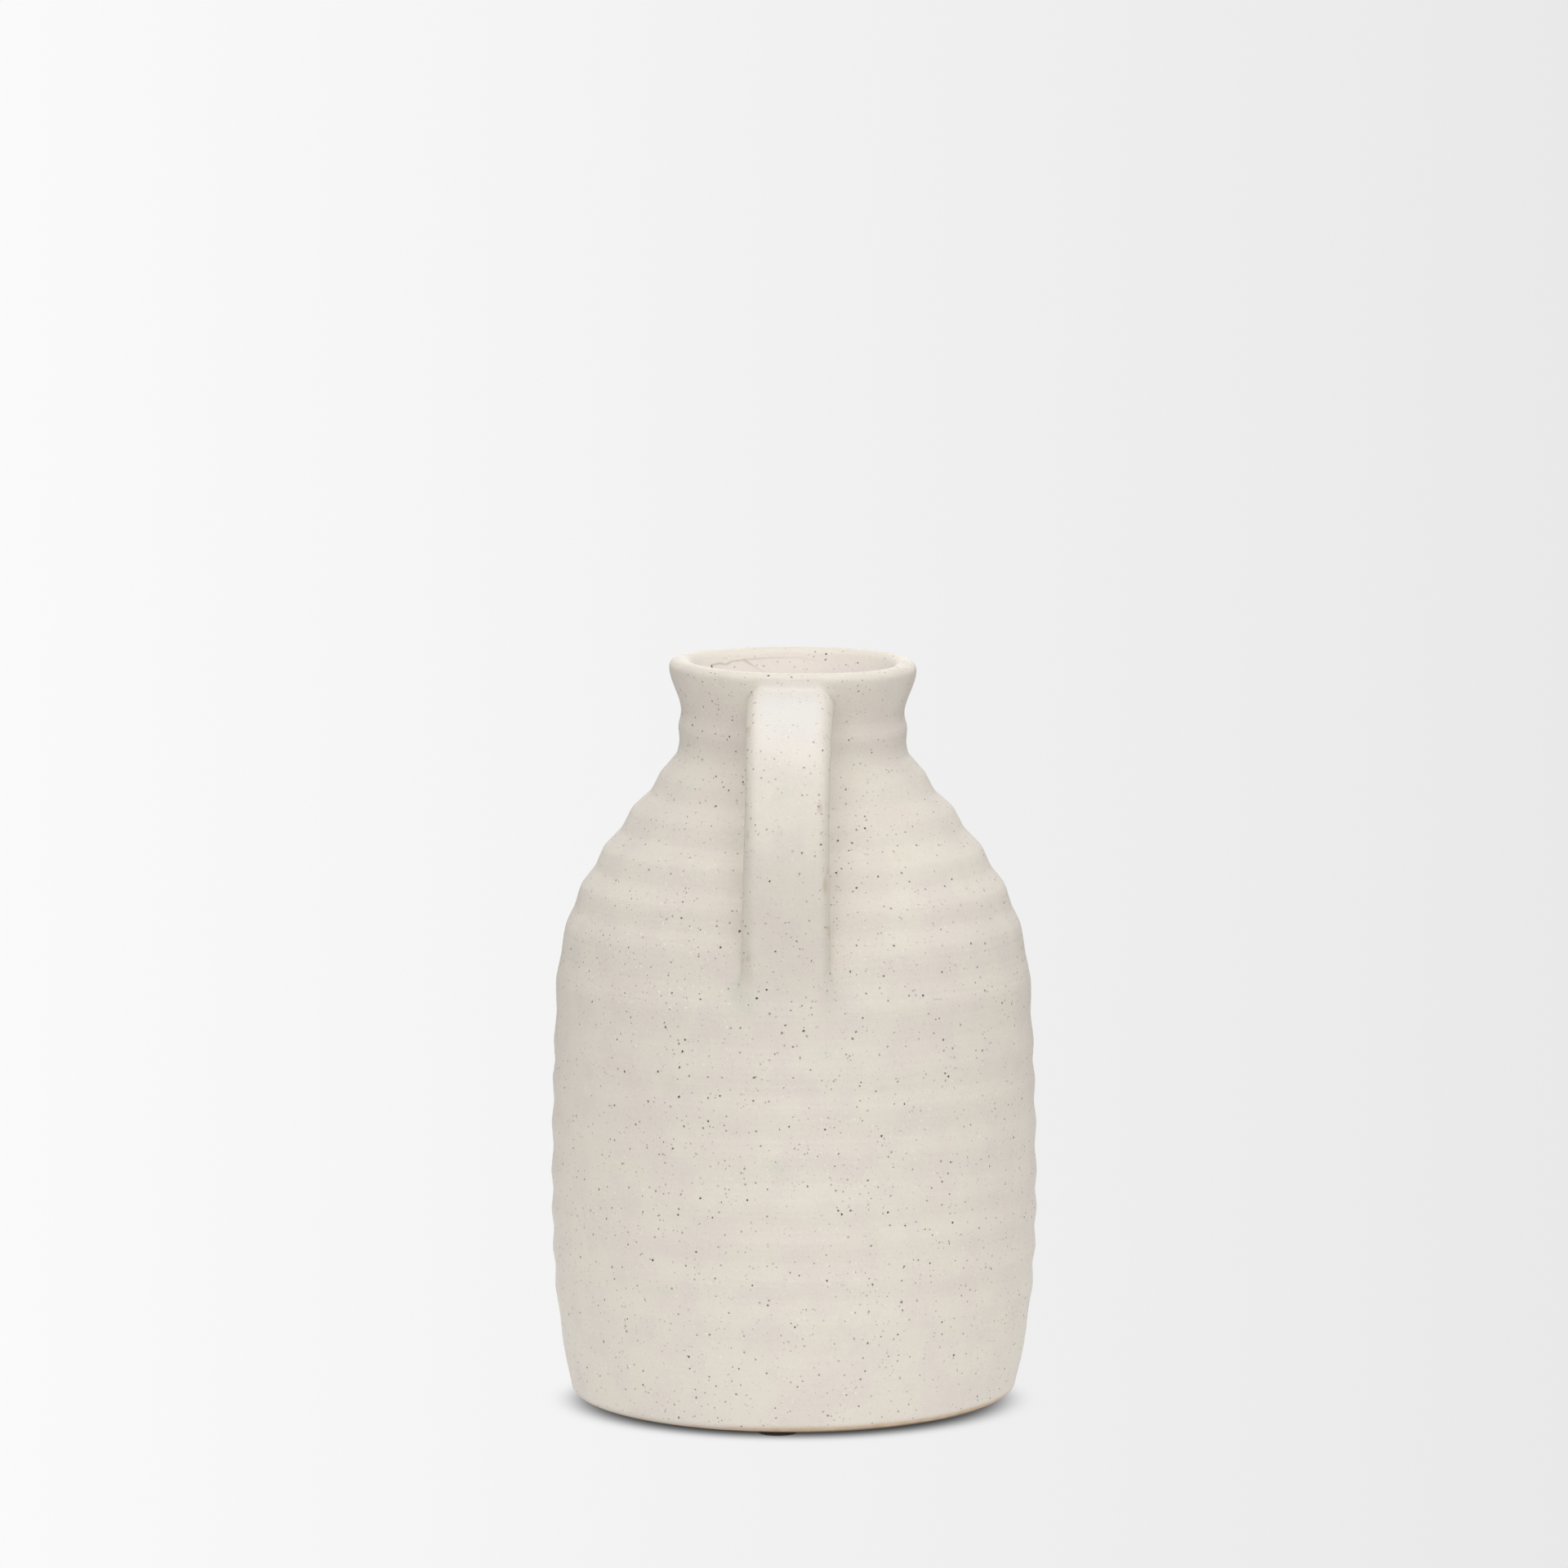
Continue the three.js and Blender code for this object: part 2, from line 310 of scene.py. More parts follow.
def sandiness(points):
    """1 in the middle of the patch of coarser grain, falling to 0 at its rim."""
    bearing = np.degrees(np.arctan2(points[:, 0], -points[:, 1]))
    middle, height, half_angle, half_height = SANDY_PATCH
    out = np.hypot((bearing - middle) / half_angle, (points[:, 2] - height) / half_height)
    return 1 - smoothstep(out, 0.4, 1.2)


def build_body(material):
    s = row_positions()
    radius, height = outline_at(s)
    angle = np.arange(AROUND) * TAU / AROUND
    inner = s[1:-1]
    outside = (inner > FLAT_BASE_S[-1]) & (inner < OUTSIDE_END_S)
    points = turned_points(radius[1:-1, None] - ring_loss(inner, angle), height[1:-1], angle)
    points = hand_made(points, np.repeat(outside.astype(float), AROUND))
    points = np.vstack([points, [0, 0, height[0]], [0, 0, height[-1]]])
    faces = turned_faces(len(inner), AROUND)
    piece = mesh_piece("vase_body_thrown", points, faces, "vase_body", material)
    mark_body(piece, points, inner, angle)


def mark_body(piece, points, s, angle):
    """Stores what the glaze follows: how far it is past its edge, the inside, the sandy patch, the cracks."""
    line_s = np.interp(BASE_Z + GLAZE_LINE, *corner_heights())
    sag = GLAZE_SAG * smoothstep(-np.sin(angle), -0.1, 0.75)
    past_line = (s[:, None] - line_s + sag[None]).reshape(-1)
    point_values(piece, "past_glaze_line", np.concatenate([past_line, [-line_s, KNOT_S[-1] - line_s]]))
    inside = np.repeat(smoothstep(s - CREST_S, 2, 8), AROUND)
    inside = np.concatenate([inside, [0, 1]])
    point_values(piece, "inside", inside)
    point_values(piece, "sandy", sandiness(points) * (1 - inside))
    crack = np.maximum(crack_strength(points, LONG_CRACK), crack_strength(points, SHORT_CRACK))
    point_values(piece, "crack", crack)


def corner_heights():
    """Height against place along the outline, up the rounded corner of the base."""
    s = np.linspace(FLAT_BASE_S[-1], FLAT_BASE_S[-1] + 6, 60)
    return outline_at(s)[1], s


# -------------------------------------------------------------------------------------------- strap handle
# The strap and the clay pressed round its ends are one smooth surface: where the distance to the strap and
# the distance to the body are alike, the two are blended into a fillet. Coordinates here are across the
# strap, out from the axis, and up.

FILLET_TOP, FILLET_FOOT = 3.4, 4.2
FILLET_HEIGHTS = (190, 235)  # the fillets change from the one size to the other between these heights
PROUD = 0.01  # where the blended surface stands out from the body by less than this, it is left off
STAINS = [(11.7, 0.425, 1.0, 2.0), (13.6, 0.58, 0.9, 3.4)]  # mm across, share along, half width, half length
SINK = 0.012  # how far the fillets' thin edges are tucked under the body's surface


class Table:
    """Values of a function of two lengths, worked out on a grid and read off between its points."""

    def __init__(self, low, high, step, function):
        self.low, self.step = np.array(low, float), step
        size = ((np.array(high) - self.low) / step).astype(int) + 2
        first, second = (self.low[a] + np.arange(size[a]) * step for a in (0, 1))
        grid = np.meshgrid(first, second, indexing="ij")
        self.values = np.stack([v.reshape(size) for v in function(*(g.reshape(-1) for g in grid))])

    def __call__(self, first, second):
        place = (np.stack([first, second]) - self.low[:, None]) / self.step
        place = np.clip(place, 0, np.array(self.values.shape[1:])[:, None] - 1.001)
        i, j = place.astype(int)
        u, v = place - place.astype(int)
        low = self.values[:, i, j] * (1 - u) + self.values[:, i + 1, j] * u
        high = self.values[:, i, j + 1] * (1 - u) + self.values[:, i + 1, j + 1] * u
        return low * (1 - v) + high * v


def distance_to_body(radius, height):
    """Distance to the body as if it were solid, negative inside."""
    s = np.arange(FLAT_BASE_S[0], OUTSIDE_END_S, 0.2)
    skin = np.stack(outline_at(s), axis=1)
    gap = np.empty(len(radius))
    for part in np.array_split(np.argsort(height), max(1, len(radius) // 500)):
        reach = 30
        near = skin[(skin[:, 1] > height[part].min() - reach) & (skin[:, 1] < height[part].max() + reach)]
        apart = np.hypot(radius[part][:, None] - near[None, :, 0], height[part][:, None] - near[None, :, 1])
        gap[part] = apart.min(axis=1)
    rising = skin[: np.argmax(skin[:, 1]) + 1]
    inside = radius < np.interp(height, rising[:, 1], rising[:, 0], right=0.0)
    return (np.where(inside, -gap, gap),)


class Strap:
    """The strap's shape: a section carried along a middle line, each read off the CAD model."""

    THICKNESS = 9.2
    CROWN = 0.4  # how far each face falls away towards its edges
    WAIST = 0.05  # share of its width that it loses at its narrowest
    PULL_MARKS, PULL_SPACING = 0.06, 8.5  # faint ridges along it, left by the pulling hand
    EDGE_WIDTHS = (5.4, 4.4)  # the right edge is rolled over a little further in than the left
    PRESSED = (0.5, 0.84)  # over this part of its length it is thinned and pressed into the belly
    THINNED, PRESSED_IN = 0.35, 2.6
    RUN_IN = 30.0  # how far the line is carried on into the body at the lower end
    LEAN = -0.7  # how far the lower end stands to the left of the line
    CORNERS = (0.095, 0.045)  # between these shares of its length its top corners are rounded off
    CORNER_DEPTH = 2.0

    def __init__(self, wall):
        points, _ = cad_vertices("strap_handle")
        centre = points.mean(axis=0)
        self.turn = math.atan2(centre[0], -centre[1])
        across, out = points @ self.across_axis(), points @ self.out_axis()
        self.half_width = across.max()
        clear_of_body = wall(np.hypot(points[:, 0], points[:, 1]), points[:, 2])[0] > 0.6
        edge = (across > self.half_width - 0.1) & clear_of_body
        line = np.stack([out[edge], points[edge, 2]], axis=1)
        line = line[np.argsort(-line[:, 1])]
        head = self.carried_on(line[1], line[0], 8)[::-1]
        tail = self.carried_on(line[-4], line[-1], self.RUN_IN)
        knots = np.vstack([head, line, tail])
        s = arc_length(knots)
        self.length = s[-1]
        self.s = np.linspace(0, s[-1], 600)
        self.line = np.stack([through_knots(s, knots[:, axis], self.s) for axis in (0, 1)], axis=1)
        along = np.gradient(self.line, axis=0)
        along /= np.linalg.norm(along, axis=1)[:, None]
        self.normal = np.stack([-along[:, 1], along[:, 0]], axis=1)

    def carried_on(self, before, last, length):
        """Points straight on from the last, away from the one before."""
        ahead = (last - before) / np.linalg.norm(last - before)
        return last + ahead * np.arange(4, length + 1, 4)[:, None]

    def across_axis(self):
        return np.array([math.cos(self.turn), math.sin(self.turn), 0.0])

    def out_axis(self):
        return np.array([math.sin(self.turn), -math.cos(self.turn), 0.0])

    def to_frame(self, local):
        """From (across, out, up) to x, y, z."""
        return local @ np.stack([self.across_axis(), self.out_axis(), [0, 0, 1.0]])

    def nearest(self, out, up):
        """For points of the strap's middle plane: how far along the line they lie, and how far off it."""
        along, off = np.empty(len(out)), np.empty(len(out))
        for part in np.array_split(np.arange(len(out)), max(1, len(out) // 4000)):
            gap = np.stack([out[part], up[part]], axis=1)[:, None] - self.line[None]
            i = np.argmin((gap**2).sum(axis=2), axis=1)
            along[part] = self.s[i] / self.length
            off[part] = (gap[np.arange(len(part)), i] * self.normal[i]).sum(axis=1)
        return along, off

    def distance(self, across, share, off):
        """Roughly the distance to the strap's skin, negative inside: a crowned slab with rounded edges."""
        waist = 1 - self.WAIST * np.exp(-(((share - 0.4) / 0.2) ** 2))
        begin, end = self.CORNERS
        corner = np.clip((begin - share) / (begin - end), 0, 1)
        half_width = self.half_width * waist - self.CORNER_DEPTH * (1 - np.sqrt(1 - corner**2))
        side = np.abs(across - self.LEAN * smoothstep(share, 0.3, 0.85))
        crown = self.CROWN * (side / self.half_width) ** 2
        pulled = self.PULL_MARKS * np.cos(TAU * (across + 2 * share) / self.PULL_SPACING)
        pressed = smoothstep(share, *self.PRESSED)
        half_thickness = self.THICKNESS / 2 * (1 - self.THINNED * pressed) - crown + pulled
        edge = np.where(across > 0, *self.EDGE_WIDTHS)
        into_edge = np.maximum(side - half_width + edge, 0) / edge
        into_face = (off + self.PRESSED_IN * pressed) / half_thickness
        return half_thickness * (np.hypot(into_edge, into_face) - 1)


def blended(strap, body, height):
    """The smaller of two distances, rounded off where they are alike."""
    reach = between((FILLET_FOOT, FILLET_TOP), smoothstep(height, *FILLET_HEIGHTS))
    near = np.maximum(reach - np.abs(strap - body), 0) / reach
    return np.minimum(strap, body) - near * near * reach / 4


def crossed_cells(field):
    """The grid cells that the field's zero surface runs through, and for each the middle of its crossings."""
    inside = field < 0
    shape = np.array(field.shape) - 1
    total, count = np.zeros((*shape, 3)), np.zeros(shape)
    for axis, p, q in itertools.product(range(3), (0, 1), (0, 1)):
        start = np.insert([p, q], axis, 0)
        low = tuple(slice(a, a + n) for a, n in zip(start, shape))
        high = tuple(slice(c.start + (a == axis), c.stop + (a == axis)) for a, c in enumerate(low))
        crossed = inside[low] != inside[high]
        at = field[low][crossed] / (field[low][crossed] - field[high][crossed])
        place = np.tile(start.astype(float), (len(at), 1))
        place[:, axis] += at
        total[crossed] += place
        count[crossed] += 1
    active = count > 0
    return active, total[active] / count[active][:, None] + np.argwhere(active)


def surface_nets(field):
    """The zero surface of a field on a grid, as points in grid steps and quads."""
    inside = field < 0
    active, points = crossed_cells(field)
    number = np.full(active.shape, -1)
    number[active] = np.arange(active.sum())
    quads = []
    for axis in range(3):
        p, q = [a for a in range(3) if a != axis]
        low = [slice(1, -1)] * 3
        low[axis] = slice(0, -1)
        high = list(low)
        high[axis] = slice(1, None)
        cells = np.argwhere(inside[tuple(low)] != inside[tuple(high)]) + np.array([c.start for c in low])
        steps = np.zeros((4, 3), int)
        steps[1, p] = steps[2, p] = steps[2, q] = steps[3, q] = -1
        corner = cells[:, None] + steps[None]
        quads.append(number[corner[..., 0], corner[..., 1], corner[..., 2]])
    return points, np.vstack(quads)


def largest_patch(count, quads):
    """Of a mesh's separate patches, the quads of the one with the most."""
    label = np.arange(count)
    while True:
        low = label[quads].min(axis=1)
        new = label.copy()
        np.minimum.at(new, quads.reshape(-1), np.repeat(low, 4))
        if (new == label).all():
            break
        label = new
    names, sizes = np.unique(label[quads[:, 0]], return_counts=True)
    return quads[label[quads[:, 0]] == names[np.argmax(sizes)]]


def open_loops(faces):
    """The edges that only one face has, as closed loops of vertices."""
    onward = {}
    edges = {(f[i], f[(i + 1) % len(f)]) for f in faces for i in range(len(f))}
    for a, b in edges:
        if (b, a) not in edges:
            onward[b] = a
    loops = []
    while onward:
        start, at = onward.popitem()
        loop = [start]
        while at != start:
            loop.append(at)
            at = onward.pop(at)
        loops.append(loop)
    return loops


def wind_alike(points, quads, field_value):
    """Turns each quad so that it faces the way the field grows."""
    a, b, c, d = (points[quads[:, i]] for i in range(4))
    normal = np.cross(c - a, d - b)
    middle = (a + b + c + d) / 4
    length = np.linalg.norm(normal, axis=1)[:, None] + 1e-9
    grows = field_value(middle + 0.2 * normal / length) > field_value(middle - 0.2 * normal / length)
    return np.where(grows[:, None], quads, quads[:, ::-1])


def subdivided(points, quads):
    """The same quads, each split into four by Catmull and Clark's rule."""
    mesh = bpy.data.meshes.new("subdividing")
    mesh.from_pydata(points.tolist(), [], quads.tolist())
    piece = bpy.data.objects.new("subdividing", mesh)
    bpy.context.scene.collection.objects.link(piece)
    piece.modifiers.new("finer", "SUBSURF").levels = 1
    made = piece.evaluated_get(bpy.context.evaluated_depsgraph_get()).to_mesh()
    fine = np.array([v.co for v in made.vertices])
    faces = np.array([p.vertices for p in made.polygons])
    bpy.data.objects.remove(piece)
    return fine, faces


class StrapField:
    """The distances to the strap and to the body, read off two tables, and the two blended."""

    LOW = np.array([-34.0, 32.0, BASE_Z + 110])
    HIGH = np.array([34.0, 110.0, RIM_Z + 4])
    TABLE_STEP = 0.5
    NUDGE = 0.1  # for measuring slopes

    def __init__(self):
        self.wall = Table(self.LOW[1:] - 2, self.HIGH[1:] + 6, self.TABLE_STEP, distance_to_body)
        self.strap = Strap(self.wall)
        self.plane = Table(self.LOW[1:] - 2, self.HIGH[1:] + 2, self.TABLE_STEP, self.strap.nearest)

    def parts_at(self, local):
        """The distances to the strap's skin and to the body's."""
        skin = self.strap.distance(local[:, 0], *self.plane(local[:, 1], local[:, 2]))
        body = self.wall(np.hypot(local[:, 0], local[:, 1]), local[:, 2])[0]
        return skin, body

    def value(self, local):
        return blended(*self.parts_at(local), local[:, 2])

    def settled(self, local, rounds=3):
        """The points moved onto the blended surface along its slope."""
        for _ in range(rounds):
            value = self.value(local)
            slope = np.empty_like(local)
            for axis, step in enumerate(np.eye(3) * self.NUDGE):
                slope[:, axis] = (self.value(local + step) - self.value(local - step)) / (2 * self.NUDGE)
            steepness = np.maximum((slope**2).sum(axis=1), 0.25)
            local = local - slope * (value / steepness)[:, None]
        return local


def strap_surface(field):
    """The blended surface where it stands proud of the body, as points and quads."""
    grid_step = 1.0 / DETAIL
    size = ((field.HIGH - field.LOW) / grid_step).astype(int)
    steps = np.stack(np.meshgrid(*(np.arange(n) for n in size), indexing="ij"), axis=-1).reshape(-1, 3)
    points, quads = surface_nets(field.value(steps * grid_step + field.LOW).reshape(size))
    local = field.settled(points * grid_step + field.LOW)
    proud = field.parts_at(local)[1]
    quads = quads[proud[quads].max(axis=1) > PROUD]
    quads = largest_patch(len(local), quads)
    used, quads = np.unique(quads, return_inverse=True)
    quads = wind_alike(local[used], quads.reshape(-1, 4), field.value)
    local, quads = subdivided(local[used], quads)
    return field.settled(local), quads


def tucked(local, proud, loops):
    """The points with the fillets' thin edges moved in under the body's surface."""
    tuck = SINK * (1 - smoothstep(proud, 0.0, 0.4))
    tuck[np.concatenate(loops)] = SINK * 2
    scale = 1 - tuck / np.hypot(local[:, 0], local[:, 1])
    return local * np.stack([scale, scale, np.ones(len(local))], axis=1)


def strap_marks(field, local, skin, proud):
    """Where the glaze pools in the creases beside the strap, with painted shade there; the rounded edges,
    where the glaze wears away and painted shade falls; a painted highlight on the top; and the stains.
    """
    aside = np.abs(local[:, 0])
    share = field.plane(local[:, 1], local[:, 2])[0]
    half_width = field.strap.half_width
    off_body = smoothstep(proud, 2, 6)
    stain = np.zeros(len(local))
    for across, along, half_across, half_along in STAINS:
        away = (share - along) * field.strap.length
        out = np.hypot((local[:, 0] - across) / half_across, away / half_along)
        stain = np.maximum(stain, (1 - smoothstep(out, 0.2, 1.5)) * off_body)
    return {
        # Glaze pooling in the creases beside the strap, darkened as painted shade in those creases.
        "pooling_and_crease_shade": np.clip(np.minimum(skin, proud) / 0.5, 0, 1) * smoothstep(aside, 10, 14),
        # Painted shade on the strap's rounded edges, where they turn away from the light, together with the
        # glaze wearing away there.
        "worn_and_edge_shade": smoothstep(aside, half_width - 4.6, half_width - 1.4) * off_body,
        # A painted highlight across the strap's upper bend, where the light from above falls.
        "painted_highlight": np.exp(-(((share - 0.17) / 0.13) ** 2)) * (1 - smoothstep(aside, 8, 14)),
        "stain": stain,
    }


def build_strap(material):
    field = StrapField()
    local, quads = strap_surface(field)
    faces = quads.tolist()
    loops = open_loops(faces)
    skin, proud = field.parts_at(local)
    local = tucked(local, proud, loops)
    points = hand_made(field.strap.to_frame(local), 1 - smoothstep(proud, 0, 5))
    points, faces = root_caps(points, faces, loops)
    piece = mesh_piece("strap_handle_pulled", points, faces, "strap_handle", material)
    on_rim = np.zeros(len(points), bool)
    on_rim[np.concatenate(loops)] = True
    for edge in piece.data.edges:
        edge.use_edge_sharp = bool(on_rim[edge.vertices[0]] and on_rim[edge.vertices[1]])
    for name, values in strap_marks(field, local, skin, proud).items():
        point_values(piece, name, np.pad(values, (0, len(points) - len(values))))
    point_values(piece, "past_glaze_line", np.full(len(points), 100.0))


def root_caps(points, faces, loops):
    """Closes each open end inside the body's wall: a short collar inward, then a fan to one point."""
    points = list(points)
    for loop in loops:
        rim = np.array([points[v] for v in loop])
        radius = np.hypot(rim[:, 0], rim[:, 1])[:, None]
        inward = rim * [1, 1, 0] / radius
        start = len(points)
        points.extend(rim - 1.0 * inward)
        middle = (rim - 2.5 * inward).mean(axis=0)
        points.append(middle)
        count = len(loop)
        for i in range(count):
            j = (i + 1) % count
            faces.append([loop[i], loop[j], start + j, start + i])
            faces.append([start + i, start + j, start + count])
    return np.array(points), faces


# ---------------------------------------------------------------------------------------------- felt pads


FELT_AROUND = 120  # points round a felt dot
FELT_BULGE = 0.0672  # share of its radius by which the cut edge is drawn in above and below
FELT_RAGGED, FELT_HAIRY = 0.05, 0.03  # how uneven the edge is, inwards and up and down


def felt_profile(radius, thickness):
    """(radius, height) from the middle of the underside round the cut edge to the middle of the top."""
    across = np.linspace(0.1, 0.94, 8)
    under = [(radius * share, 0.0) for share in across]
    edge = [(radius * (1 - FELT_BULGE * e**4), thickness * (e + 1) / 2) for e in np.linspace(-1, 1, 9)]
    return under + edge + [(radius * share, thickness) for share in across[::-1]]


def build_felt(node, material):
    """A pressed felt dot: a flat disc whose cut edge bulges a little and is hairy and uneven."""
    low, high = (np.array(corner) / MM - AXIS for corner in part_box(node))
    radius, thickness = (high[0] - low[0]) / 2, high[2] - low[2]
    angle = np.arange(FELT_AROUND) * TAU / FELT_AROUND
    profile = felt_profile(radius, thickness)
    ragged = np.minimum(rng.normal(0, FELT_RAGGED, (len(profile), FELT_AROUND)), 0.0)
    rows = []
    for (row_radius, height), drawn_in in zip(profile, ragged):
        r = row_radius + drawn_in * (row_radius > radius * 0.9)
        lift = 0.0 if height in (0.0, thickness) else rng.normal(0, FELT_HAIRY, FELT_AROUND)
        rows.append(np.stack([r * np.sin(angle), -r * np.cos(angle), height + 0 * angle + lift], axis=1))
    points = np.vstack(rows + [[[0, 0, 0]], [[0, 0, thickness]]]) + (low + high) / 2 * [1, 1, 0]
    faces = turned_faces(len(profile), FELT_AROUND)
    mesh_piece(node.replace("pad", "dot"), points, faces, node, material)


# ---------------------------------------------------------------------------------------------- materials


def srgb(*levels):
    """A colour given as three 0 to 255 screen levels, as the linear values that materials take."""
    shares = [level / 255 for level in levels]
    return [v / 12.92 if v <= 0.04045 else ((v + 0.055) / 1.055) ** 2.4 for v in shares] + [1.0]


class Graph:
    """Builds one material's nodes. Lengths are millimetres: position() is the object's own, scaled."""

    def __init__(self, name):
        self.material = bpy.data.materials.new(name)
        self.material.use_nodes = True
        self.tree = self.material.node_tree
        self.tree.nodes.clear()

    def add(self, kind, settings=None, **inputs):
        node = self.tree.nodes.new(kind)
        for key, value in (settings or {}).items():
            setattr(node, key, value)
        for key, value in inputs.items():
            self.put(node.inputs[key.replace("_", " ")], value)
        return node

    def put(self, socket, value):
        if isinstance(value, bpy.types.NodeSocket):
            self.tree.links.new(value, socket)
        else:
            socket.default_value = value

    def math(self, operation, a, b=0.0, clamp=False):
        node = self.add("ShaderNodeMath", {"operation": operation, "use_clamp": clamp})
        self.put(node.inputs[0], a)
        self.put(node.inputs[1], b)
        return node.outputs[0]

    def mix(self, factor, a, b, blend="MIX"):
        node = self.add("ShaderNodeMix", {"data_type": "RGBA", "blend_type": blend})
        self.put(node.inputs[0], factor)
        self.put(node.inputs[6], a)
        self.put(node.inputs[7], b)
        return node.outputs[2]

    def ramp(self, value, low, high, to_low=0.0, to_high=1.0, smooth=True):
        kind = "SMOOTHSTEP" if smooth else "LINEAR"
        node = self.add("ShaderNodeMapRange", {"interpolation_type": kind})
        for socket, given in zip(node.inputs[:5], (value, low, high, to_low, to_high)):
            self.put(socket, given)
        return node.outputs[0]

    def position(self):
        coordinates = self.add("ShaderNodeTexCoord").outputs["Object"]
        scaled = self.add("ShaderNodeVectorMath", {"operation": "SCALE"}, Vector=coordinates, Scale=1 / MM)
        return scaled.outputs[0]

    def noise(self, position, grain, detail=2.0, roughness=0.5):
        """A cloudy value about 0.5 whose lumps are grain millimetres across."""
        given = {"Vector": position, "Scale": 1 / grain, "Detail": detail, "Roughness": roughness}
        return self.add("ShaderNodeTexNoise", **given).outputs[0]

    def attribute(self, name):
        return self.add("ShaderNodeAttribute", {"attribute_name": name}).outputs["Fac"]

    def tint(self, colour, where, strength, towards):
        """The colour shifted towards another, by strength where the value is 1."""
        return self.mix(self.math("MULTIPLY", where, strength), colour, srgb(*towards))

    def total(self, *values):
        result = values[0]
        for value in values[1:]:
            result = self.math("ADD", result, value)
        return result

    def finished(self, colour, rough, height, **more):
        """Closes the material with a shader whose surface has this relief, in metres."""
        bump = self.add("ShaderNodeBump", Height=height, Distance=1.0, Strength=1.0).outputs[0]
        shader = self.add("ShaderNodeBsdfPrincipled", Base_Color=colour, Roughness=rough, Normal=bump, **more)
        self.add("ShaderNodeOutputMaterial", Surface=shader.outputs[0])
        return self.material


def specks(graph, position, cell, size, share, seed):
    """Marks scattered through the clay, one to a cell: how strongly each point lies in one, and its shade."""
    away = [seed * step for step in (37.7, 11.3, 23.9)]
    place = graph.add("ShaderNodeVectorMath", {"operation": "ADD"})
    graph.put(place.inputs[0], position)
    graph.put(place.inputs[1], away)
    cells = graph.add("ShaderNodeTexVoronoi", Vector=place.outputs[0], Scale=1 / cell)
    chance = graph.add("ShaderNodeSeparateColor", Color=cells.outputs["Color"])
    shown = graph.math("GREATER_THAN", chance.outputs[0], 1 - share)
    radius = graph.ramp(chance.outputs[1], 0.0, 1.0, 0.3 * size, size, smooth=False)
    ragged = graph.ramp(graph.noise(position, 0.5), 0.3, 0.7, 0.7, 1.3)
    away = graph.math("MULTIPLY", graph.math("MULTIPLY", cells.outputs["Distance"], cell), ragged)
    within = graph.ramp(away, radius, graph.math("MULTIPLY", radius, 0.45))
    return graph.math("MULTIPLY", within, shown), chance.outputs[2]


# The marks in the glaze, palest first. Each: spacing and largest radius in millimetres, share of the places
# that hold one, seed, strengths of the faintest and strongest, colour, and what its strength also follows.
GLAZE_MARKS = [
    (2.2, 0.62, 0.85, 5, (0.25, 0.95), (243, 238, 229), "sandy"),
    (1.25, 0.42, 0.5, 8, (0.1, 0.45), (150, 139, 126), "sandy"),
    (1.9, 0.5, 0.78, 2, (0.2, 0.7), (132, 121, 109), "crowd"),
    (2.7, 0.61, 0.85, 3, (0.3, 0.9), (104, 94, 84), "even"),
]
DARK_SPECKS = (4.9, 0.56, 0.9, 1)
CLAY_GRAINS = (1.6, 0.35, 0.8, 4)
PITS = (3.4, 0.4, 0.5, 6)
FILM_DUST = (1.4, 0.25, 0.6, 7)


def clouded_glaze(g, place, elsewhere):
    """Cream with pinkish and faintly green clouds and a fine, sugary grain."""
    glaze = g.mix(g.ramp(g.noise(place, 22, 2.5), 0.4, 0.62), srgb(226, 219, 206), srgb(225, 216, 205))
    glaze = g.tint(glaze, g.ramp(g.noise(elsewhere, 15, 3), 0.42, 0.66), 0.55, (220, 210, 203))
    glaze = g.tint(glaze, g.ramp(g.noise(elsewhere, 11, 2), 0.64, 0.76), 0.3, (206, 210, 190))
    glaze = g.tint(glaze, g.ramp(g.noise(place, 2.4, 3, 0.6), 0.35, 0.65), 0.14, (216, 208, 196))
    return g.tint(glaze, g.ramp(g.noise(place, 0.8, 2, 0.6), 0.3, 0.7), 0.25, (238, 231, 220))


def glaze_tints_and_painted_light(g, place, glaze):
    """Whiter inside; a painted highlight on the strap's top; greener where the glaze pools, with painted
    shade in the creases; greyer on the strap's rounded edges, painted shade together with the glaze wearing
    away there, and browner in patches where it breaks.
    """
    glaze = g.tint(glaze, g.attribute("inside"), 0.6, (228, 221, 217))
    # Painted highlight on the strap's top bend.
    glaze = g.tint(glaze, g.attribute("painted_highlight"), 0.6, (228, 228, 226))
    # Greener pooled glaze in the creases beside the strap, also painted shade there.
    glaze = g.tint(glaze, g.attribute("pooling_and_crease_shade"), 0.3, (202, 203, 188))
    # Painted shade on the strap's rounded edges, together with the glaze wearing away there; brown patches
    # break through it.
    worn_and_shaded = g.attribute("worn_and_edge_shade")
    glaze = g.tint(glaze, worn_and_shaded, 0.42, (199, 193, 178))
    bare_patches = g.math("MULTIPLY", worn_and_shaded, g.ramp(g.noise(place, 7, 3), 0.56, 0.72))
    stained = g.math("MAXIMUM", bare_patches, g.attribute("stain"))
    return g.tint(glaze, stained, 0.5, (190, 170, 140))


